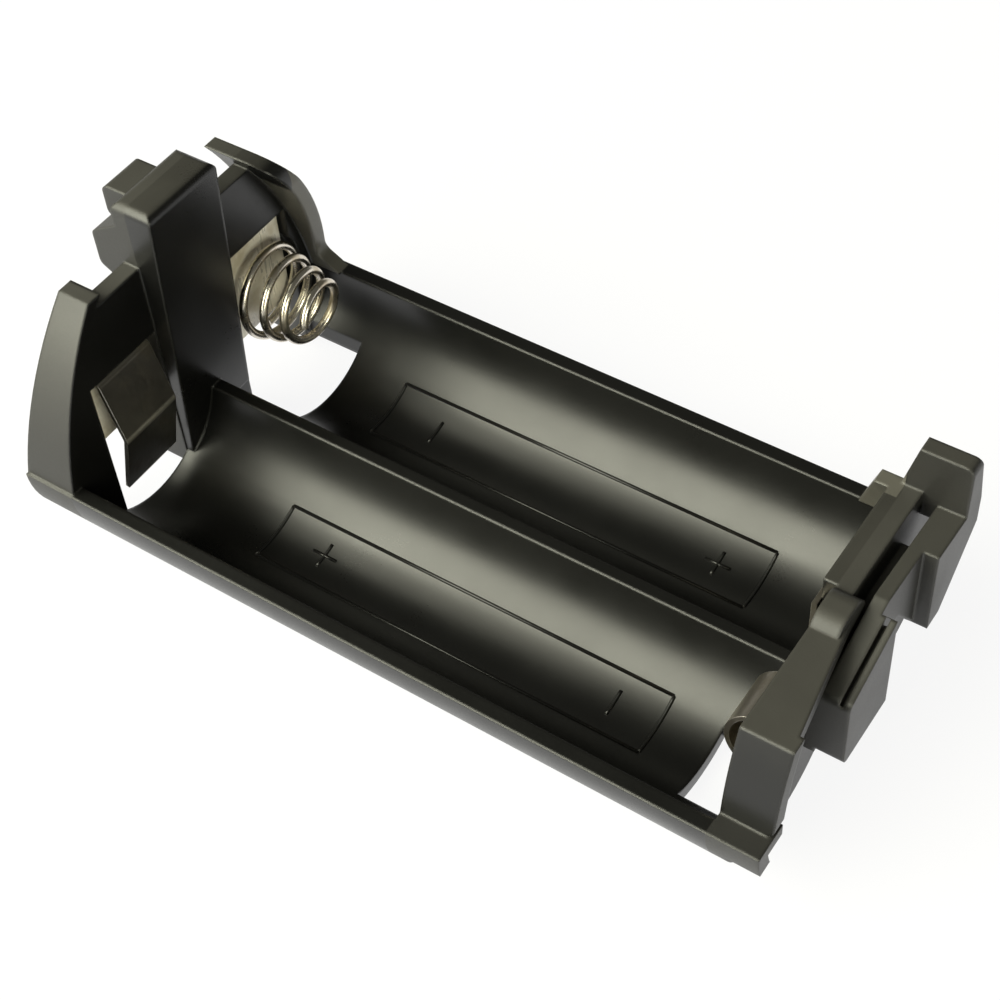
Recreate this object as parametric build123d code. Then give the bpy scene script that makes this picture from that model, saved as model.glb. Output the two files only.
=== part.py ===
"""Removable tray for two AA-size cells that lie side by side and head to tail.

The tray is one moulding: two half-round troughs with a ridge between them, an end wall with a
skirt at each end, and a latch tongue that stands up from the left wall.  Four pressed or wound
metal pieces sit in it: a coil spring on its plate, a leaf contact in the window of the left wall,
and a bridge contact that joins the two cells at the right wall.

X runs along the cells, Y across them and Z up.  While it is modelled, X is 0 at the inner face of
the left wall, and the finished pieces are moved so that the origin is at the bottom centre.
"""
import os
from math import atan2, degrees

from build123d import *

# Cells and troughs
CELL_PITCH = 15.8
CELL_SPACE = 58.0
TROUGH_RADIUS = 7.45
TROUGH_WALL = 1.3
RIDGE_DROP = 1.15
FAR_BAY_SHIFT = 1.1

# Left wall and its skirt
LEFT_WEB = 1.5
LEFT_TOP = 23.3
LEFT_SKIRT_TOP_DEPTH = 3.0
LEFT_SKIRT_FOOT_DEPTH = 4.9
SKIRT_WALL = 1.4
SKIRT_STEP = 0.25
EAR_HALF_WIDTH = 9.6
EAR_BULGE = 1.1
NEAR_EAR_TOP = 24.1
FAR_EAR_TOP = 25.4
FAR_CHEEK_TOP_LENGTH = 4.3
FAR_CHEEK_WAIST = 0.9
FAR_CHEEK_WAIST_HEIGHT = 1.7
FAR_CHEEK_ROOT_LENGTH = 3.0
FAR_CHEEK_CORNER = 2.6
FAR_CHEEK_FLARE = 1.2

# Latch tongue and its catch
TONGUE_HALF_WIDTH = 3.95
TONGUE_TOP = 29.2
TONGUE_TOP_FRONT = 2.5
TONGUE_FOOT_FRONT = 0.7
TONGUE_FOOT = 2.0
TONGUE_EDGE = 0.7
CATCH_REACH = 4.3
CATCH_BOTTOM = 20.3
CATCH_TOP = 27.0
CATCH_RAMP = 1.7
CATCH_KNOB_HALF_WIDTH = 1.9
CATCH_KNOB_TOP = 28.4
CATCH_EDGE = 0.7

# Window in the left wall and the holes in the trough floors
WINDOW_WIDTH = 7.7
WINDOW_TOP = 16.6
SPRING_HOLE_LENGTH = 6.0
SPRING_HOLE_WIDTH = 10.6
SPRING_OPENING_TOP = 7.2
SEAT_MARGIN = 0.3
BRIDGE_HOLE_LENGTH = 5.2
BRIDGE_HOLE_WIDTH = 7.0

# Right wall, its skirt and the guide outside it
RIGHT_WEB = 1.3
RIGHT_TOP = 16.4
RIGHT_TOP_HALF_WIDTH = 12.5
RIGHT_NEAR_FOOT = 14.7
RIGHT_BULGE = 0.3
RIGHT_CORNER = 1.0
RIGHT_SKIRT_DEPTH = 4.1
RIGHT_SKIRT_EDGE = 0.7
RIGHT_LEDGE = 1.2
RIGHT_RIM_DROP = 2.6
RIGHT_LIP = 1.4
RIGHT_LIP_WIDE = 3.8
RIGHT_LIP_NARROW = 2.2
POST_HALF_WIDTH = 2.2
POST_DEPTH = 2.2
POST_TOP = 17.2
POST_SHIFT = -0.9
POST_EDGE = 1.7
RIGHT_CHEEK_TOP_LENGTH = 2.2
RIGHT_CHEEK_ROOT_LENGTH = 4.8
GUIDE_GAP = 1.2
GUIDE_WALL = 2.3
GUIDE_NEAR_END = 5.6
GUIDE_NEAR_WIDTH = 6.6
GUIDE_NOTCH_DEPTH = 1.2
GUIDE_NOTCH_SLOPE = 3.2
GUIDE_FAR_END = 14.4
GUIDE_FAR_WIDTH = 7.0
GUIDE_NEAR_TOP = 13.4
GUIDE_CREST = 2.0
GUIDE_CREST_TOP = 16.2
GUIDE_TOP = 15.6
GUIDE_BOTTOM = 6.4
GUIDE_FAR_BOTTOM = 7.7
GUIDE_FAR_FOOT = 1.9
GUIDE_FAR_EDGE = 13.0
GUIDE_BRIDGE_BOTTOM = 12.0
GUIDE_FLOOR = 1.4
GUIDE_SIDE = 1.4
GUIDE_TAB_TOP = 20.6
GUIDE_TAB_FOOT = 14.0
GUIDE_TAB_SETBACK = 1.7
GUIDE_TAB_LEAN = 1.0
GUIDE_EDGE = 0.7
GROOVE_PLACE = 1.45
GROOVE_WIDTH = 0.35
GROOVE_DEPTH = 0.9

# Sheet contacts and the coil spring
SHEET = 0.4
PLATE_WIDTH = 7.4
PLATE_BOTTOM = 7.0
PLATE_TOP = 16.4
PLATE_SLOT_CLEARANCE = 0.15
TERMINAL_LENGTH = 6.0
LEAF_WIDTH = 6.0
LEAF_CREST = 1.5
LEAF_CREST_HEIGHT = 10.6
LEAF_FOOT_HEIGHT = 4.3
LEAF_MARGIN = 0.8
LEAF_TERMINAL_BOTTOM = 9.2
LEAF_TOP_GAP = 0.2
BRIDGE_HEIGHT = 6.4
BRIDGE_CLEARANCE = 0.2
BRIDGE_END = 11.4
BRIDGE_STEP_START = 2.0
BRIDGE_STEP_END = 0.6
BRIDGE_STEP_ROOM = 0.7
BRIDGE_DIMPLE_RADIUS = 2.6
BRIDGE_DIMPLE_RISE = 0.8
BRIDGE_LEAF_WIDTH = 4.4
BRIDGE_LEAF_RISE = 2.0
WIRE = 0.75
COIL_BASE_RADIUS = 4.2
COIL_TIP_RADIUS = 2.5
COIL_LENGTH = 7.4
COIL_TURNS = 3.6
COIL_RISE = 2.1
COIL_SHIFT = 0.8

# Places that follow from the sizes above
half_pitch = CELL_PITCH / 2
outer_radius = TROUGH_RADIUS + TROUGH_WALL
axis_height = outer_radius
half_width = half_pitch + outer_radius
ridge_top = axis_height - RIDGE_DROP
right_face = CELL_SPACE
right_outer = right_face + RIGHT_WEB
guide_inner = right_outer + GUIDE_GAP
guide_outer = guide_inner + GUIDE_WALL
left_end = -max(LEFT_SKIRT_FOOT_DEPTH, CATCH_REACH)
far_left_face = -FAR_BAY_SHIFT
far_right_face = right_face - FAR_BAY_SHIFT
skirt_end = right_face + RIGHT_SKIRT_DEPTH
right_end = max(guide_outer, skirt_end)
centre_x = (left_end + right_end) / 2
spring_y = half_pitch + COIL_SHIFT
spring_z = axis_height + COIL_RISE
OVERCUT = 1.0


def across(sketch, start, length):
    """Extrude a sketch drawn in (Y, Z) along X, from start over length."""
    return Pos(start, 0, 0) * extrude(Plane.YZ * sketch, amount=length)


def along(sketch, low, high):
    """Extrude a sketch drawn in (X, Z) along Y, from low to high."""
    return Pos(0, high, 0) * extrude(Plane.XZ * sketch, amount=high - low)


def block(x, y, z):
    """Box between three pairs of limits."""
    size = [high - low for low, high in (x, y, z)]
    middle = [(high + low) / 2 for low, high in (x, y, z)]
    return Pos(*middle) * Box(*size)


def near(shape):
    """The same shape on the near side of the ridge."""
    return mirror(shape, about=Plane.XZ)


def trough_circles(radius):
    """Two circles round the cell axes."""
    circles = Locations((-half_pitch, axis_height), (half_pitch, axis_height))
    return Sketch() + [place * Circle(radius) for place in circles]


def below(height):
    """Everything in the section under a height."""
    size = 4 * half_width
    return Pos(0, height - size / 2) * Rectangle(size, size)


def trough_section():
    """Half-round troughs with a flat-topped ridge between them."""
    outside = trough_circles(outer_radius) & below(axis_height)
    hollow = trough_circles(TROUGH_RADIUS)
    ridge_cut = Pos(0, axis_height) * Rectangle(CELL_PITCH, 2 * RIDGE_DROP)
    return outside - hollow - ridge_cut


def left_side(top):
    """Bowed side line of the left wall on the far side, from the rim up to a height."""
    return SagittaArc((half_width - SKIRT_STEP, axis_height), (EAR_HALF_WIDTH, top), -EAR_BULGE)


def right_side(foot):
    """Side line of the right wall on the far side, from a place at the height of the rim."""
    return SagittaArc((foot, axis_height), (RIGHT_TOP_HALF_WIDTH, RIGHT_TOP), -RIGHT_BULGE)


def upper_half(side):
    """Upper half of an end wall, between its far side line and the middle."""
    lid = Line(side @ 1, (0, (side @ 1).Y))
    middle = Line(lid @ 1, (0, axis_height))
    return make_face([side, lid, middle, Line(middle @ 1, side @ 0)])


def wall_face(far_side, near_side):
    """Face of an end wall: the trough outline with a leaning upper part."""
    lower = trough_circles(outer_radius) & below(axis_height)
    return lower + upper_half(far_side) + mirror(upper_half(near_side), about=Plane.YZ)


def left_face():
    """Face of the left wall, which is alike on both sides."""
    return wall_face(left_side(LEFT_TOP), left_side(LEFT_TOP))


def skirt_face(outside):
    """Strip of one wall thickness along the far side line of an end wall."""
    inside = Pos(-SKIRT_WALL, 0) * outside
    lid = Line(outside @ 1, inside @ 1)
    return make_face([outside, lid, inside, Line(inside @ 0, outside @ 0)])


def left_skirt(top, front):
    """Far skirt of the left wall under a side line drawn in (X, Z) from its top to its root."""
    start = front @ 0
    root = front @ 1
    band = across(skirt_face(left_side(top)), left_end, 2 * CELL_PITCH)
    back = Polyline(root, (-LEFT_SKIRT_FOOT_DEPTH, axis_height), start)
    return band & along(make_face([front, back]), 0, half_width)


def far_left_cheek():
    """Far skirt, which runs on past the wall and narrows to a waist above the rim."""
    front = FilletPolyline((-LEFT_SKIRT_TOP_DEPTH, FAR_EAR_TOP), (FAR_CHEEK_TOP_LENGTH, FAR_EAR_TOP),
                           (FAR_CHEEK_WAIST, axis_height + FAR_CHEEK_WAIST_HEIGHT),
                           (FAR_CHEEK_ROOT_LENGTH, axis_height), radius=[FAR_CHEEK_CORNER, FAR_CHEEK_FLARE])
    return left_skirt(FAR_EAR_TOP, front)


def left_wall():
    """Left wall with its skirts, before the openings are cut."""
    web = across(left_face(), -LEFT_WEB, LEFT_WEB)
    near_front = Polyline((-LEFT_SKIRT_TOP_DEPTH, NEAR_EAR_TOP), (0, NEAR_EAR_TOP), (0, axis_height))
    return web + near(left_skirt(NEAR_EAR_TOP, near_front)) + far_left_cheek()


def latch_tongue():
    """Tongue that stands up between the cells, with a stepped catch on its outer side."""
    profile = Polyline((-LEFT_WEB, TONGUE_FOOT), (TONGUE_FOOT_FRONT, TONGUE_FOOT),
                       (TONGUE_TOP_FRONT, TONGUE_TOP), (-LEFT_WEB, TONGUE_TOP), close=True)
    tongue = along(make_face(profile), -TONGUE_HALF_WIDTH, TONGUE_HALF_WIDTH)
    tongue = fillet(tongue.edges().group_by(Axis.Z)[-1], TONGUE_EDGE)
    tooth = make_face(Polyline((-LEFT_WEB, CATCH_BOTTOM), (-CATCH_REACH, CATCH_BOTTOM + CATCH_RAMP),
                               (-CATCH_REACH, CATCH_TOP - CATCH_RAMP), (-LEFT_WEB, CATCH_TOP), close=True))
    knob = make_face(Polyline((-LEFT_WEB, CATCH_TOP - CATCH_RAMP), (-CATCH_REACH, CATCH_TOP - CATCH_RAMP),
                              (-CATCH_REACH, CATCH_KNOB_TOP), (-LEFT_WEB, CATCH_KNOB_TOP), close=True))
    tooth = fillet(tooth.vertices().group_by(Axis.X)[0], CATCH_EDGE)
    knob = fillet(knob.vertices().group_by(Axis.X)[0], CATCH_EDGE)
    tongue += along(tooth, -TONGUE_HALF_WIDTH, TONGUE_HALF_WIDTH)
    return tongue + along(knob, -CATCH_KNOB_HALF_WIDTH, CATCH_KNOB_HALF_WIDTH)


def right_wall():
    """Right wall with its near skirt and ledge, tapering lip, far pad and cheek, and centre post."""
    far_side = right_side(half_width - SKIRT_STEP)
    near_side = right_side(RIGHT_NEAR_FOOT)
    face = wall_face(far_side, near_side)
    face = fillet(face.vertices().group_by(Axis.Y)[-1], RIGHT_CORNER)
    wall = across(face, right_face, RIGHT_WEB)
    wall += across(face, far_right_face, FAR_BAY_SHIFT) & block(
        (far_right_face, right_face), (BRIDGE_STEP_END + BRIDGE_STEP_ROOM, half_width), (0, RIGHT_TOP))
    near_skirt = near(across(skirt_face(near_side), right_face, RIGHT_SKIRT_DEPTH))
    outer_edge = near_skirt.edges().group_by(Axis.X)[-1].sort_by(Axis.Y)[0]
    wall += fillet(outer_edge, RIGHT_SKIRT_EDGE)
    wall += block((right_face, skirt_end), (SKIRT_STEP - half_width, SKIRT_WALL - RIGHT_NEAR_FOOT),
                  (axis_height - RIGHT_LEDGE, axis_height))
    wall += across(trough_section(), right_face, RIGHT_SKIRT_DEPTH) & block(
        (right_face, skirt_end), (-half_width, -half_pitch), (axis_height - RIGHT_RIM_DROP, axis_height))
    lip = Polyline((right_face, -RIGHT_TOP_HALF_WIDTH + RIGHT_CORNER),
                   (right_face + RIGHT_LIP_WIDE, -RIGHT_TOP_HALF_WIDTH + RIGHT_CORNER),
                   (right_face + RIGHT_LIP_NARROW, POST_SHIFT), (right_face, POST_SHIFT), close=True)
    wall += Pos(0, 0, RIGHT_TOP - RIGHT_LIP) * extrude(make_face(lip), amount=RIGHT_LIP)
    cheek = Polyline((right_face - RIGHT_CHEEK_ROOT_LENGTH, axis_height), (right_outer, axis_height),
                     (right_outer, RIGHT_TOP), (right_face - RIGHT_CHEEK_TOP_LENGTH, RIGHT_TOP), close=True)
    band = across(skirt_face(far_side), right_face - RIGHT_CHEEK_ROOT_LENGTH,
                  RIGHT_CHEEK_ROOT_LENGTH + RIGHT_WEB)
    wall += band & along(make_face(cheek), 0, half_width)
    post = block((right_face, right_face + POST_DEPTH),
                 (POST_SHIFT - POST_HALF_WIDTH, POST_SHIFT + POST_HALF_WIDTH), (ridge_top, POST_TOP))
    rounded = post.edges().group_by(Axis.Z)[-1].filter_by(Axis.X)
    return wall + fillet(rounded, POST_EDGE)


def guide():
    """Plate that stands off the right wall: a near block, a thinner middle and a leg with a tab."""
    near_inner = GUIDE_NEAR_WIDTH - GUIDE_NEAR_END
    far_inner = GUIDE_FAR_END - GUIDE_FAR_WIDTH
    tab_outer = GUIDE_FAR_END - GUIDE_TAB_LEAN
    tab_inner = tab_outer - GUIDE_SIDE
    outline = make_face(Polyline(
        (-GUIDE_NEAR_END, GUIDE_BOTTOM), (near_inner, GUIDE_BOTTOM), (near_inner, GUIDE_BRIDGE_BOTTOM),
        (far_inner - GUIDE_NOTCH_SLOPE, GUIDE_BRIDGE_BOTTOM), (far_inner, GUIDE_FAR_BOTTOM),
        (far_inner + GUIDE_FAR_FOOT, GUIDE_FAR_BOTTOM), (GUIDE_FAR_END, GUIDE_FAR_EDGE),
        (GUIDE_FAR_END, GUIDE_TOP), (tab_outer, GUIDE_TAB_TOP), (tab_inner, GUIDE_TAB_TOP),
        (tab_inner, GUIDE_TOP), (GUIDE_CREST, GUIDE_CREST_TOP), (-GUIDE_NEAR_END, GUIDE_NEAR_TOP),
        close=True))
    plate = across(fillet(outline.vertices().group_by(Axis.X)[0], GUIDE_EDGE), guide_inner, GUIDE_WALL)
    tip = plate.edges().group_by(Axis.Z)[-1].sort_by(Axis.X)[-1]
    plate = fillet(tip, GUIDE_EDGE)
    plate -= block((guide_outer - GUIDE_NOTCH_DEPTH, guide_outer), (near_inner, far_inner),
                   (GUIDE_BOTTOM, GUIDE_TAB_TOP))
    top_line = Polyline((-GUIDE_NEAR_END, GUIDE_NEAR_TOP), (near_inner, GUIDE_CREST_TOP - GROOVE_DEPTH / 2))
    plate -= across(trace(top_line, 2 * GROOVE_DEPTH), guide_inner + GROOVE_PLACE, GROOVE_WIDTH)
    span = (right_outer, guide_inner)
    side = block(span, (-GUIDE_NEAR_END, GUIDE_SIDE - GUIDE_NEAR_END),
                 (GUIDE_BOTTOM, GUIDE_NEAR_TOP - GUIDE_EDGE))
    floor = block(span, (-GUIDE_NEAR_END, far_inner + GUIDE_FAR_FOOT),
                  (GUIDE_BRIDGE_BOTTOM, GUIDE_BRIDGE_BOTTOM + GUIDE_FLOOR))
    tab_face = make_face(Polyline(
        (far_right_face, GUIDE_TAB_FOOT), (guide_inner, GUIDE_TAB_FOOT), (guide_inner, GUIDE_TAB_TOP),
        (far_right_face + GUIDE_TAB_SETBACK, GUIDE_TAB_TOP), close=True))
    return plate + side + floor + along(tab_face, tab_inner, tab_outer)


def spring_seat_face(margin):
    """Outline in (Y, Z) of the coil's first turn and its plate, grown by a margin."""
    plate = Rectangle(PLATE_WIDTH + 2 * margin, PLATE_TOP - PLATE_BOTTOM + 2 * margin)
    ring = Circle(COIL_BASE_RADIUS + WIRE / 2 + margin)
    return Pos(spring_y, (PLATE_TOP + PLATE_BOTTOM) / 2) * plate + Pos(spring_y, spring_z) * ring


def spring_boss():
    """Thicker part behind the far half of the left wall, which makes room for the spring's seat."""
    boss = across(spring_seat_face(SEAT_MARGIN + SKIRT_WALL), -LEFT_WEB - FAR_BAY_SHIFT, FAR_BAY_SHIFT)
    return boss & across(left_face(), -LEFT_WEB - FAR_BAY_SHIFT, FAR_BAY_SHIFT)


def tray():
    """The moulding, with its window, floor openings, spring seat and terminal slot cut out."""
    length = right_outer + LEFT_SKIRT_FOOT_DEPTH
    body = across(trough_section(), -LEFT_SKIRT_FOOT_DEPTH, length)
    body = body + left_wall() + latch_tongue() + right_wall() + guide() + spring_boss()
    window_side = WINDOW_WIDTH / 2
    body -= block((left_end - OVERCUT, 0), (-half_pitch - window_side, -half_pitch + window_side),
                  (-OVERCUT, WINDOW_TOP))
    spring_side = SPRING_HOLE_WIDTH / 2
    body -= block((0, SPRING_HOLE_LENGTH), (half_pitch - spring_side, half_pitch + spring_side),
                  (-OVERCUT, axis_height / 2))
    plate_side = PLATE_WIDTH / 2 + SEAT_MARGIN
    body -= block((left_end - OVERCUT, 0), (spring_y - plate_side, spring_y + plate_side),
                  (-OVERCUT, SPRING_OPENING_TOP))
    body -= across(spring_seat_face(SEAT_MARGIN), far_left_face, FAR_BAY_SHIFT)
    bridge_side = BRIDGE_HOLE_WIDTH / 2
    body -= block((right_face - BRIDGE_HOLE_LENGTH, right_face),
                  (-half_pitch - bridge_side, -half_pitch + bridge_side), (-OVERCUT, axis_height / 2))
    slot_half = PLATE_WIDTH / 2 + PLATE_SLOT_CLEARANCE
    body -= block((left_end, 0), (spring_y - slot_half, spring_y + slot_half),
                  (PLATE_TOP - SHEET - PLATE_SLOT_CLEARANCE, PLATE_TOP + PLATE_SLOT_CLEARANCE))
    return body


def strip(path, width, y_middle):
    """Sheet of one thickness that follows a path drawn in (X, Z)."""
    face = trace(path, SHEET)
    return along(face, y_middle - width / 2, y_middle + width / 2)


def spring_plate():
    """Plate behind the coil, with a tail through the wall that folds down as the outer terminal."""
    half = SHEET / 2
    inside = far_left_face + half
    outside = far_left_face - LEFT_WEB - half
    path = Polyline((inside, PLATE_BOTTOM), (inside, PLATE_TOP - half), (outside, PLATE_TOP - half),
                    (outside, PLATE_TOP - TERMINAL_LENGTH))
    return strip(path, PLATE_WIDTH, spring_y)


def coil_spring():
    """Conical coil that stands on its plate, with the small end towards the cell."""
    start = far_left_face + SHEET + WIRE / 2
    pitch = (COIL_LENGTH - WIRE) / COIL_TURNS
    radii = COIL_BASE_RADIUS - COIL_TIP_RADIUS
    angle = -degrees(atan2(radii, COIL_LENGTH - WIRE))
    path = Helix(pitch, COIL_LENGTH - WIRE, COIL_BASE_RADIUS, cone_angle=angle)
    section = Plane(path @ 0, z_dir=path % 0) * Circle(WIRE / 2)
    wire = sweep(section, path)
    return Pos(start, spring_y, spring_z) * Rot(0, 90, 0) * wire


def leaf_contact():
    """Terminal plate outside the window, folded in at the top into a bowed leaf."""
    half = SHEET / 2
    outside = -LEFT_WEB - half
    top = WINDOW_TOP - LEAF_TOP_GAP - half
    path = FilletPolyline((outside, LEAF_TERMINAL_BOTTOM), (outside, top), (-half, top),
                          (LEAF_CREST - half, LEAF_CREST_HEIGHT), (-half, LEAF_FOOT_HEIGHT),
                          radius=[SHEET, SHEET, SHEET * 2])
    leaf = strip(path, LEAF_WIDTH, -half_pitch)
    plate_half = WINDOW_WIDTH / 2 + LEAF_MARGIN
    plate = block((outside - half, outside + half), (-half_pitch - plate_half, -half_pitch + plate_half),
                  (LEAF_TERMINAL_BOTTOM, top))
    return leaf + plate


def bridge_contact():
    """Stepped plate across both troughs: a bowed leaf for the near cell and a dimple for the far one."""
    low = ridge_top + BRIDGE_CLEARANCE
    high = low + BRIDGE_HEIGHT
    half = SHEET / 2
    near_seat = right_face - half
    far_seat = far_right_face - half
    path = Polyline((near_seat, -BRIDGE_END), (near_seat, -BRIDGE_STEP_START), (far_seat, BRIDGE_STEP_END),
                    (far_seat, BRIDGE_END))
    plate = Pos(0, 0, low) * extrude(trace(path, SHEET), amount=BRIDGE_HEIGHT)
    cap = Rot(0, -90, 0) * Cone(BRIDGE_DIMPLE_RADIUS, BRIDGE_DIMPLE_RADIUS / 2, BRIDGE_DIMPLE_RISE)
    plate += Pos(far_seat - half - BRIDGE_DIMPLE_RISE / 2, half_pitch, (low + high) / 2) * cap
    bow = ThreePointArc((near_seat, high - half), (near_seat - BRIDGE_LEAF_RISE, (low + high) / 2),
                        (near_seat, low + half))
    return plate + strip(bow, BRIDGE_LEAF_WIDTH, -half_pitch)


pieces = {"tray": tray(), "spring_plate": spring_plate(), "leaf_contact": leaf_contact(),
          "bridge_contact": bridge_contact(), "coil_spring": coil_spring()}
os.makedirs("parts", exist_ok=True)
for name, piece in pieces.items():
    export_step(Pos(-centre_x, 0, 0) * piece, f"parts/{name}.step")
    print(name, piece.volume)
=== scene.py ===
# %% [markdown]
# # A moulded holder for two cylindrical cells
# The real object is a black injection-moulded tray with two half-round troughs, a latch tongue at
# one end and four small metal contacts.  Its shapes come from the CAD model, which is loaded as a
# fixed frame.  Blender adds the finishes, the fine raised marks in the troughs, the light and the
# camera.  Everything is in metres, in the same frame as the CAD model.

# %% Load the frame
from math import pi, radians

import bmesh
import bpy
from mathutils import Matrix, Vector


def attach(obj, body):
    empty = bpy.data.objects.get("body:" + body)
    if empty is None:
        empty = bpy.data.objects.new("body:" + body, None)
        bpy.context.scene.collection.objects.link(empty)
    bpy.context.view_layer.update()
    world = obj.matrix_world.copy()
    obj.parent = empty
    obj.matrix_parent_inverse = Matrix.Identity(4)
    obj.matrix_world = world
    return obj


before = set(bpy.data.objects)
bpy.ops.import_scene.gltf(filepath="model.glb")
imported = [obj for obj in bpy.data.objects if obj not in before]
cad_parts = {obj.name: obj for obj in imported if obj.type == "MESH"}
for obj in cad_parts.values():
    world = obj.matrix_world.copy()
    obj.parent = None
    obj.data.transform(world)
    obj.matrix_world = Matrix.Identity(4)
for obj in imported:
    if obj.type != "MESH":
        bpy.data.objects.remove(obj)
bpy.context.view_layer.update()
MM = 0.001

# %% [markdown]
# ## Camera
# A product photograph of a small part is taken from close by, so the perspective is strong.  The
# place and the turn of this camera were worked out from the tray's straight edges.  Writing the
# camera's own axes into its matrix is safer than angles, because nothing depends on their order.

# %% Camera
CAMERA_PLACE = Vector((61.62, -77.69, 124.71)) * MM
CAMERA_RIGHT = Vector((0.8283, 0.5571, -0.0594))
CAMERA_DOWN = Vector((0.3923, -0.6525, -0.6484))
CAMERA_FORWARD = Vector((-0.3999, 0.5137, -0.7590))
LENS = 70.4


def turned(right, up, back):
    """Matrix whose columns are three axes, with no move."""
    return Matrix((right, up, back)).transposed().to_4x4()


camera = bpy.data.objects.new("camera", bpy.data.cameras.new("camera"))
camera.data.lens = LENS
camera.data.clip_start = 5 * MM
camera.matrix_world = Matrix.Translation(CAMERA_PLACE) @ turned(CAMERA_RIGHT, -CAMERA_DOWN, -CAMERA_FORWARD)
bpy.context.scene.collection.objects.link(camera)
bpy.context.scene.camera = camera
bpy.context.scene.view_settings.view_transform = "Standard"
print("camera to middle of the tray, mm:", round(CAMERA_PLACE.length / MM, 1))

# %% [markdown]
# ## Shader maths
# A procedural finish is a sum of small patterns.  Wiring each Math node by hand hides the idea, so
# one small class stands for a socket: plain arithmetic on it adds the Math nodes, and one method adds
# any other kind of node.

# %% A socket that can be reckoned with
class Signal:
    """A socket in a node tree.  Arithmetic on it adds Math nodes to that tree."""

    def __init__(self, tree, socket=None):
        self.tree = tree
        self.socket = socket

    def node(self, kind, settings=None, inputs=None, output=0):
        """Add a node, set it up, feed its sockets, and give one of its outputs."""
        made = self.tree.nodes.new("ShaderNode" + kind)
        for name, value in (settings or {}).items():
            setattr(made, name, value)
        for name, value in (inputs or {}).items():
            if isinstance(value, Signal):
                self.tree.links.new(value.socket, made.inputs[name])
            else:
                made.inputs[name].default_value = value
        return Signal(self.tree, made.outputs[output]) if made.outputs else None

    def math(self, operation, *values):
        """Add one Math node on the given values."""
        return self.node("Math", {"operation": operation}, dict(enumerate(values)))

    def axis(self, name):
        """One axis of a vector: 'X', 'Y' or 'Z'."""
        return self.node("SeparateXYZ", None, {0: self}, output=name)

    def __add__(self, other):
        return self.math("ADD", self, other)

    def __sub__(self, other):
        return self.math("SUBTRACT", self, other)

    def __rsub__(self, other):
        return self.math("SUBTRACT", other, self)

    def __mul__(self, other):
        return self.math("MULTIPLY", self, other)

    __radd__ = __add__
    __rmul__ = __mul__


def blank_tree(owner):
    """Empty node tree of a material or world."""
    owner.use_nodes = True
    owner.node_tree.nodes.clear()
    return Signal(owner.node_tree)


def mixed(share, low, high):
    """Colour between two others.  A Mix node takes its colours in sockets 6 and 7 and gives one in 2."""
    return share.node("Mix", {"data_type": "RGBA"}, {0: share, 6: low, 7: high}, output=2)


def steps(value, low, high):
    """0 below one limit, 1 above the other, smooth between them."""
    return value.node("MapRange", {"interpolation_type": "SMOOTHSTEP"},
                      {"Value": value, "From Min": low, "From Max": high})


NOISE_MIDDLE = 0.5


def swing(noise, amount):
    """Noise about its middle, scaled to an amount."""
    return (noise - NOISE_MIDDLE) * amount


print("shader helper ready:", Signal.__name__)

# %% [markdown]
# ## Floor and light
# The picture is a cut-out on white.  Each trough shows one broad pale band on its far side and stays black
# elsewhere, so the main light is a large softbox low in front, and a mirror's law says where it stands.
# A weaker one above it lets the band fade out towards the bottom of the trough, a small one at the right
# draws the end faces, and a dim room fills the rest.  The floor is a pale board that reads as white to
# the camera and in reflections, and it still takes a faint shadow.  A low lip at its edge hides the dim
# room from a camera that looks nearly level.

# %% Floor
FLOOR_SIZE = 5.0
FLOOR_LIP = 50 * MM
FLOOR_DROP = 0.05 * MM
FLOOR_COLOUR = (0.85, 0.85, 0.85, 1.0)
FLOOR_WHITE_SHARE = 0.9


def floor_material():
    """Pale board that shows white to the camera, to metal and to gloss."""
    material = bpy.data.materials.new("pale_floor")
    tree = blank_tree(material)
    seen = tree.node("LightPath", output="Is Camera Ray")
    seen = seen + tree.node("LightPath", output="Is Glossy Ray")
    seen = seen + tree.node("LightPath", output="Is Transmission Ray")
    share = seen.math("MINIMUM", seen, 1.0) * FLOOR_WHITE_SHARE
    board = tree.node("BsdfDiffuse", None, {"Color": FLOOR_COLOUR})
    white = tree.node("Emission", None, {"Strength": 1.0})
    surface = tree.node("MixShader", None, {0: share, 1: board, 2: white})
    tree.node("OutputMaterial", None, {"Surface": surface})
    return material


def mesh_object(name, shape, material):
    """Object at the origin from a finished bmesh."""
    mesh = bpy.data.meshes.new(name)
    shape.to_mesh(mesh)
    shape.free()
    mesh.materials.append(material)
    made = bpy.data.objects.new(name, mesh)
    bpy.context.scene.collection.objects.link(made)
    return made


board = bmesh.new()
bmesh.ops.create_grid(board, x_segments=1, y_segments=1, size=FLOOR_SIZE / 2)
lip = bmesh.ops.extrude_edge_only(board, edges=board.edges[:])["geom"]
lip_top = [item for item in lip if isinstance(item, bmesh.types.BMVert)]
bmesh.ops.translate(board, verts=lip_top, vec=(0, 0, FLOOR_LIP))
bmesh.ops.translate(board, verts=board.verts, vec=(0, 0, -FLOOR_DROP))
floor = mesh_object("floor", board, floor_material())
print("floor side, m:", FLOOR_SIZE)

# %% Softboxes and room
ROOM_LEVEL = 0.10
ROOM_COLOUR = (1.0, 0.98, 0.86, 1.0)
LAMP_COLOUR = (1.0, 0.995, 0.81)
LAMP_DISTANCE = 0.55
KEY_DIRECTION = Vector((-0.42, -0.74, 0.54))
KEY_SIZE = (0.62, 0.56)
KEY_POWER = 9.4
TOP_DIRECTION = Vector((-0.40, -0.27, 0.88))
TOP_SIZE = (0.50, 0.20)
TOP_POWER = 0.95
RIM_DIRECTION = Vector((0.90, -0.36, 0.24))
RIM_SIZE = (0.24, 0.20)
RIM_POWER = 1.4


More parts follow.
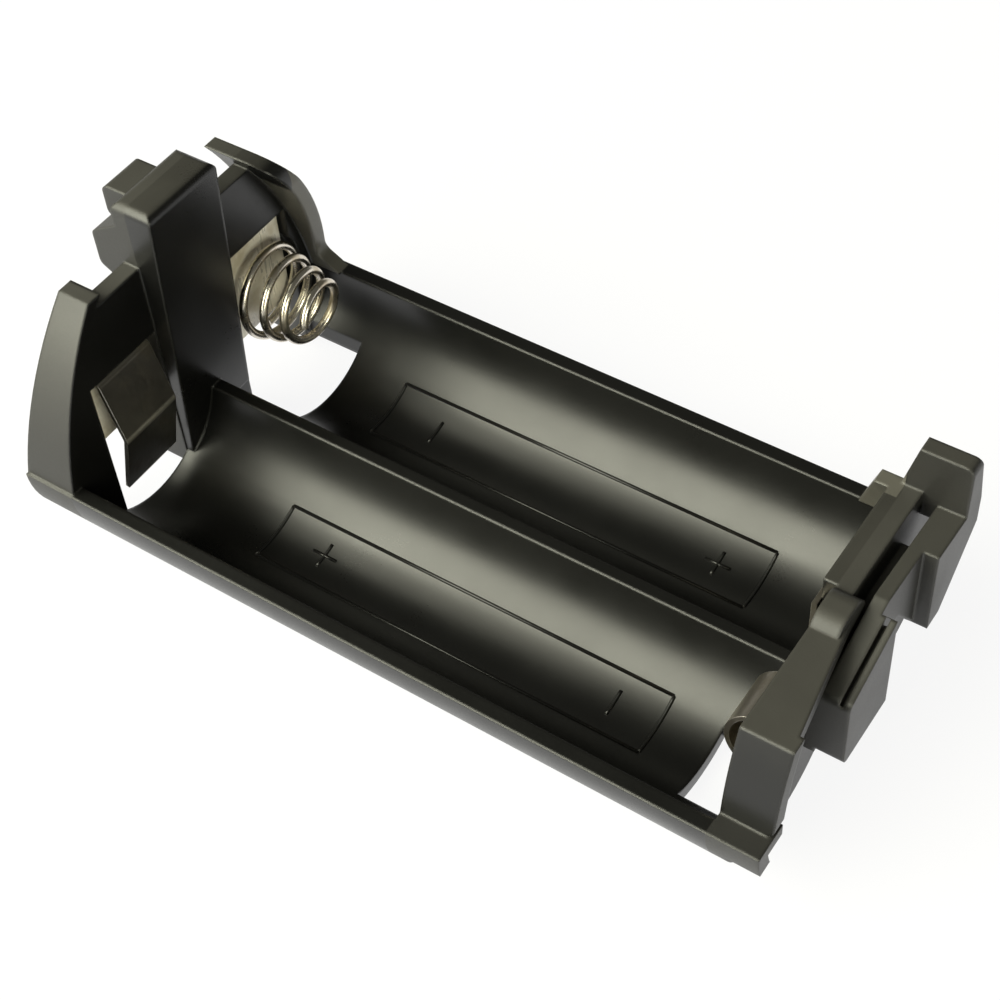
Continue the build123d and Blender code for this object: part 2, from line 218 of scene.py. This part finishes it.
def softbox(name, direction, size, power):
    """Rectangular lamp that looks at the tray, with its long side level."""
    lamp = bpy.data.lights.new(name, "AREA")
    lamp.shape = "RECTANGLE"
    lamp.size, lamp.size_y = size
    lamp.energy = power
    lamp.color = LAMP_COLOUR
    back = direction.normalized()
    right = Vector((0, 0, 1)).cross(back).normalized()
    holder = bpy.data.objects.new(name, lamp)
    holder.matrix_world = Matrix.Translation(back * LAMP_DISTANCE) @ turned(right, back.cross(right), back)
    holder.visible_camera = False
    bpy.context.scene.collection.objects.link(holder)
    print(name, "level:", round(power / (pi * size[0] * size[1]), 2))


softbox("key_softbox", KEY_DIRECTION, KEY_SIZE, KEY_POWER)
softbox("top_softbox", TOP_DIRECTION, TOP_SIZE, TOP_POWER)
softbox("rim_softbox", RIM_DIRECTION, RIM_SIZE, RIM_POWER)
room = bpy.data.worlds.new("room")
bpy.context.scene.world = room
tree = blank_tree(room)
glow = tree.node("Background", None, {"Color": ROOM_COLOUR, "Strength": ROOM_LEVEL})
tree.node("OutputWorld", None, {"Surface": glow})

# %% [markdown]
# ## Black moulded plastic
# The troughs and the faces round them come off polished steel, so they are the glossiest and look the
# blackest.  The end walls and their skirts keep the fine spark grain of the mould, which scatters light
# and looks greyer, and their level tops hold a little dust.  The far cheeks are painted paler and blotchy,
# a painted light that stands in for light which does not reach them.  The finish reads the place on the
# tray to tell them apart.  The Bevel node rounds the corners in the shading, and the amount it turns the
# normal picks out the edges, which are painted paler: partly a painted edge highlight, partly wear where
# handling has burnished the grain.

# %% Sizes of the troughs
CELL_PITCH = 15.8 * MM
AXIS_HEIGHT = 8.75 * MM
TROUGH_RADIUS = 7.45 * MM
BAY_START = -28.95 * MM
BAY_END = 29.05 * MM
print("bay length, mm:", round((BAY_END - BAY_START) / MM, 2))

# %% Moulding material
POLISHED = (0.0035, 0.0035, 0.0032, 1.0)
GRAINED = (0.016, 0.0156, 0.0146, 1.0)
DUSTY = (0.060, 0.058, 0.052, 1.0)
# Painted light: a paler colour for the far cheeks, which lie in shade.
CHEEK_PAINTED_LIGHT = (0.090, 0.086, 0.074, 1.0)
# Painted edge highlight, partly burnish wear: the paler colour of the edges.
PAINTED_EDGE_HIGHLIGHT_AND_WEAR = (0.050, 0.049, 0.045, 1.0)
DUST_LEAST, DUST_SPREAD = 0.3, 0.4
CHEEK_LIGHT_LEAST, CHEEK_LIGHT_SPREAD = 0.5, 0.7
EDGE_HIGHLIGHT_WEAR_SHARE = 0.35
PLASTIC_IOR = 1.50
POLISHED_ROUGHNESS = 0.32
GRAINED_ROUGHNESS = 0.44
BURNISHED_SMOOTHING = 0.06
CLOUD_SCALE = 140.0
CLOUD_SWING = 0.20
GRAIN_SCALE = 5200.0
GRAIN_SWING = 0.10
GRAIN_STRENGTH = 0.22
GRAIN_DEPTH = 0.03 * MM
GRAIN_LEFT_BY_POLISH = 0.25
CHEEK_START = 10.5 * MM
BLEND = 0.1 * MM
TRAY_CORNER = 0.36 * MM
MARK_CORNER = 0.05 * MM
CORNER_SAMPLES = 6
CORNER_TURN = (0.02, 0.25)
NEAR_FACING = (0.4, 0.6)
LEVEL_FACING = (0.75, 0.97)


def between(value, low, high):
    """1 between two limits, with a short blend inside them."""
    return steps(value, low, low + BLEND) * (1 - steps(value, high - BLEND, high))


def finish_zones(place, normal):
    """Masks of the polished faces, of the far cheeks that take painted light and of all that stands above
    the rims.
    """
    x, y, z = (place.axis(name) for name in "XYZ")
    in_bay = between(x, BAY_START - BLEND, BAY_END)
    off_walls = between(x, BAY_START + BLEND, BAY_END - BLEND)
    far_cheek = steps(y, CHEEK_START, CHEEK_START + BLEND)
    near_cheek = steps(0 - y, CHEEK_START, CHEEK_START + BLEND)
    high = steps(z, AXIS_HEIGHT, AXIS_HEIGHT + BLEND)
    polished = in_bay * (1 - off_walls * (far_cheek + near_cheek) * high)
    facing_near = steps(0 - normal.axis("Y"), *NEAR_FACING)
    near_skirt = near_cheek * high * facing_near * steps(x, 0.0, BLEND)
    return x.math("MAXIMUM", polished, near_skirt), off_walls * far_cheek * high, high


def edge_mask(tree, radius):
    """Rounded normal, and a mask of how far it turns from the flat one."""
    soft = tree.node("Bevel", {"samples": CORNER_SAMPLES}, {"Radius": radius})
    flat = tree.node("NewGeometry", output="Normal")
    facing = tree.node("VectorMath", {"operation": "DOT_PRODUCT"}, {0: soft, 1: flat}, output="Value")
    return soft, steps(1 - facing, *CORNER_TURN)


def moulded_plastic(name, corner):
    """Black moulded plastic.  corner is the radius that its edges show."""
    material = bpy.data.materials.new(name)
    tree = blank_tree(material)
    place = tree.node("TexCoord", output="Object")
    cloud = tree.node("TexNoise", None, {"Vector": place, "Scale": CLOUD_SCALE, "Detail": 3.0})
    grain = tree.node("TexNoise", None, {"Vector": place, "Scale": GRAIN_SCALE, "Detail": 2.0})
    normal = tree.node("NewGeometry", output="Normal")
    shine, cheek_light_mask, high = finish_zones(place, normal)
    matt = 1 - shine
    soft, edge = edge_mask(tree, corner)
    level = steps(normal.axis("Z"), *LEVEL_FACING)
    colour = mixed(matt, POLISHED, GRAINED)
    colour = mixed(level * high * (DUST_LEAST + cloud * DUST_SPREAD), colour, DUSTY)
    # Painted light on the shaded far cheeks, blotched by the cloud noise.
    colour = mixed(cheek_light_mask * (CHEEK_LIGHT_LEAST + cloud * CHEEK_LIGHT_SPREAD), colour, CHEEK_PAINTED_LIGHT)
    # Painted edge highlight, partly burnish wear, mixed in along the edges.
    colour = mixed(edge * EDGE_HIGHLIGHT_WEAR_SHARE, colour, PAINTED_EDGE_HIGHLIGHT_AND_WEAR)
    roughness = POLISHED_ROUGHNESS + matt * (GRAINED_ROUGHNESS - POLISHED_ROUGHNESS)
    roughness = roughness + swing(cloud, CLOUD_SWING) + swing(grain, GRAIN_SWING)
    roughness = roughness - edge * BURNISHED_SMOOTHING
    height = grain * (GRAIN_LEFT_BY_POLISH + matt * (1 - GRAIN_LEFT_BY_POLISH))
    grained = tree.node("Bump", None, {
        "Strength": GRAIN_STRENGTH, "Distance": GRAIN_DEPTH, "Height": height, "Normal": soft})
    surface = tree.node("BsdfPrincipled", None, {
        "Base Color": colour, "Roughness": roughness, "Normal": grained, "IOR": PLASTIC_IOR})
    tree.node("OutputMaterial", None, {"Surface": surface})
    return material


moulding = moulded_plastic("black_moulding", TRAY_CORNER)
mark_plastic = moulded_plastic("raised_marks", MARK_CORNER)
print("plastic finishes:", moulding.name, mark_plastic.name)

# %% [markdown]
# ## Plated wire and sheet
# The coil is drawn wire and the contacts are rolled sheet, both nickel plated, which is a little warmer
# than steel.  Drawing and rolling leave fine lines, and the edges are painted paler: partly a painted
# edge highlight, partly plating rubbed bright by handling.  Noise that is squeezed along one axis makes
# the lines.  The leaf is painted dark on the side that faces the cell, a painted shade that stops short
# of the crest that the cell touches, so the crest keeps its highlight, and the bridge at the other end
# has gone dull, so each gets a finish of its own.  Outside the wall the terminals are tinned, which is
# paler and less like a mirror.

# %% Metal materials
# Painted shade: the dark colour laid on the leaf's cell side.
LEAF_PAINTED_SHADE = (0.045, 0.041, 0.033, 1.0)
# Painted edge highlight, partly plating rubbed bright: the pale colour of the edges.
EDGE_HIGHLIGHT_AND_RUB = (0.90, 0.87, 0.80, 1.0)
EDGE_HIGHLIGHT_RUB_SHARE = 0.7
DEPTH_BLEND = 0.4 * MM
CREST_START = 1.4 * MM
LINE_SCALE = 1000.0
LINE_SWING = 0.16
LINE_STRENGTH = 0.12
LINE_DEPTH = 0.01 * MM
STAIN_SCALE = 420.0
TARNISH_RANGE = (0.45, 0.75)
TARNISH_ROUGHNESS = 0.12
SHEET_CORNER = 0.08 * MM
TIN_SHARE = 0.8


def plated_metal(name, bright, dull, squeeze, roughness, shade_share=0.0):
    """Nickel plate with fine lines.

    squeeze is how tightly the lines lie along each axis; the last argument is the share of painted shade
    inside the bay.
    """
    material = bpy.data.materials.new(name)
    tree = blank_tree(material)
    place = tree.node("TexCoord", output="Object")
    squeezed = tree.node("Mapping", None, {"Vector": place, "Scale": squeeze})
    lines = tree.node("TexNoise", None, {"Vector": squeezed, "Scale": LINE_SCALE, "Detail": 3.0})
    stain = tree.node("TexNoise", None, {"Vector": place, "Scale": STAIN_SCALE, "Detail": 4.0})
    soft, edge = edge_mask(tree, SHEET_CORNER)
    tarnish = steps(stain, *TARNISH_RANGE)
    depth = place.axis("X") - BAY_START
    # Painted shade on the leaf's cell side, ending before the crest so the crest keeps its highlight.
    painted_shade_zone = steps(depth, -DEPTH_BLEND, 0.0) * (1 - steps(depth, CREST_START, CREST_START + BLEND))
    tinned = 1 - steps(depth, -2 * DEPTH_BLEND, -DEPTH_BLEND)
    colour = mixed(tarnish, bright, dull)
    colour = mixed(painted_shade_zone * shade_share, colour, LEAF_PAINTED_SHADE)
    # Painted edge highlight, partly rubbed plating, mixed in along the edges.
    colour = mixed(edge * EDGE_HIGHLIGHT_RUB_SHARE, colour, EDGE_HIGHLIGHT_AND_RUB)
    rough = roughness + swing(lines, LINE_SWING) + tarnish * TARNISH_ROUGHNESS
    lined = tree.node("Bump", None, {
        "Strength": LINE_STRENGTH, "Distance": LINE_DEPTH, "Height": lines, "Normal": soft})
    surface = tree.node("BsdfPrincipled", None, {
        "Base Color": colour, "Metallic": 1 - tinned * TIN_SHARE, "Roughness": rough, "Normal": lined})
    tree.node("OutputMaterial", None, {"Surface": surface})
    return material


NICKEL = (0.78, 0.74, 0.65, 1.0)
TARNISHED = (0.55, 0.49, 0.37, 1.0)
WIRE_NICKEL = (0.74, 0.69, 0.60, 1.0)
WIRE_TARNISHED = (0.50, 0.43, 0.31, 1.0)
DULLED = (0.36, 0.33, 0.28, 1.0)
DARKENED = (0.16, 0.14, 0.10, 1.0)
DRAWN = (3.0, 0.6, 0.6)
ROLLED = (4.0, 4.0, 0.3)

wire_plate = plated_metal("plated_wire", WIRE_NICKEL, WIRE_TARNISHED, DRAWN, roughness=0.24)
sheet_plate = plated_metal("plated_sheet", NICKEL, TARNISHED, ROLLED, roughness=0.28)
# The leaf gets painted shade on its cell side.
leaf_plate = plated_metal("shade_painted_sheet", NICKEL, TARNISHED, ROLLED, roughness=0.40, shade_share=0.9)
bridge_plate = plated_metal("dulled_sheet", DULLED, DARKENED, ROLLED, roughness=0.36)
finishes = {"tray": moulding, "coil_spring": wire_plate, "spring_plate": sheet_plate,
            "leaf_contact": leaf_plate, "bridge_contact": bridge_plate}
for node, finish in finishes.items():
    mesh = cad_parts[node].data
    mesh.materials.clear()
    mesh.materials.append(finish)
    print(node, "gets", finish.name)

# %% [markdown]
# ## Raised marks in the troughs
# The mould core has shallow cuts, so the tray carries fine raised lines: the outline of a cell in each
# trough and a polarity sign at each end.  A raised line on a curved wall catches the light on one side
# and loses it on the other.  Each line is a small round section that is sunk to half its depth: lines
# along the trough are extruded, and lines across it are spun about the cell axis, so they follow the wall.

# %% Helpers for raised lines
LINE_WIDTH = 0.30 * MM
LINE_HEIGHT = 0.13 * MM
SECTION_SIDES = 10
SPIN_STEP = radians(3)


def line_section(shape, start, side, angle, facing):
    """Capped section of a raised line on a trough wall, at an angle from the bottom.

    facing is 'X' for a line along the trough and 'Y' for one across it.
    """
    made = bmesh.ops.create_circle(shape, cap_ends=True, segments=SECTION_SIDES, radius=LINE_WIDTH / 2)
    flat = Matrix.Diagonal((1, 2 * LINE_HEIGHT / LINE_WIDTH, 1, 1))
    stand = Matrix.Rotation(pi / 2, 4, "X")
    if facing == "X":
        stand = Matrix.Rotation(pi / 2, 4, "Z") @ stand
    down = Matrix.Translation((0, 0, -TROUGH_RADIUS))
    tilt = Matrix.Rotation(angle, 4, "X")
    middle = Matrix.Translation((start, side * CELL_PITCH / 2, AXIS_HEIGHT))
    bmesh.ops.transform(shape, matrix=middle @ tilt @ down @ stand @ flat, verts=made["verts"])
    return list({face for vert in made["verts"] for face in vert.link_faces})


def line_along(shape, start, end, side, angle):
    """Raised line along the trough."""
    faces = line_section(shape, start, side, angle, "X")
    grown = bmesh.ops.extrude_face_region(shape, geom=faces, use_keep_orig=True)["geom"]
    moved = [item for item in grown if isinstance(item, bmesh.types.BMVert)]
    bmesh.ops.translate(shape, verts=moved, vec=(end - start, 0, 0))


def line_across(shape, start, side, low, high):
    """Raised line round the trough, from one angle to another."""
    faces = line_section(shape, start, side, low, "Y")
    geometry = faces + list(faces[0].edges) + list(faces[0].verts)
    count = max(2, round(abs(high - low) / SPIN_STEP))
    bmesh.ops.spin(shape, geom=geometry, cent=(start, side * CELL_PITCH / 2, AXIS_HEIGHT), axis=(1, 0, 0),
                   angle=high - low, steps=count)


def raised(name, shape):
    """Finish a set of raised lines as a piece of the tray."""
    bmesh.ops.recalc_face_normals(shape, faces=shape.faces)
    piece = mesh_object(name, shape, mark_plastic)
    piece.data.polygons.foreach_set("use_smooth", [len(face.vertices) == 4 for face in piece.data.polygons])
    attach(piece, "root")
    print(name, "faces:", len(piece.data.polygons))

# %% Cell outlines and polarity signs
NEAR_SIDE, FAR_SIDE = -1, 1
OUTLINE_START = -17.2 * MM
OUTLINE_END = 19.3 * MM
OUTLINE_TOPS = {NEAR_SIDE: radians(30), FAR_SIDE: radians(32.5)}
OUTLINE_FOOT = radians(-12)
SIGN_ANGLE = radians(10)
SIGN_REACH = 1.15 * MM
SIGN_LEFT = -12.3 * MM
SIGN_RIGHT = 15.4 * MM


def cell_outline(name, side):
    """Outline of a cell, seen from above, on a trough wall."""
    shape = bmesh.new()
    for angle in (OUTLINE_FOOT, OUTLINE_TOPS[side]):
        line_along(shape, OUTLINE_START, OUTLINE_END, side, angle)
    for end in (OUTLINE_START, OUTLINE_END):
        line_across(shape, end, side, OUTLINE_FOOT, OUTLINE_TOPS[side])
    raised(name, shape)


def polarity_sign(name, side, place, plus):
    """Plus or minus sign on a trough wall."""
    shape = bmesh.new()
    reach = SIGN_REACH / TROUGH_RADIUS
    line_across(shape, place, side, SIGN_ANGLE - reach, SIGN_ANGLE + reach)
    if plus:
        line_along(shape, place - SIGN_REACH, place + SIGN_REACH, side, SIGN_ANGLE)
    raised(name, shape)


cell_outline("near_cell_outline", NEAR_SIDE)
cell_outline("far_cell_outline", FAR_SIDE)
polarity_sign("near_plus_sign", NEAR_SIDE, SIGN_LEFT, True)
polarity_sign("near_minus_sign", NEAR_SIDE, SIGN_RIGHT, False)
polarity_sign("far_minus_sign", FAR_SIDE, SIGN_LEFT, False)
polarity_sign("far_plus_sign", FAR_SIDE, SIGN_RIGHT, True)
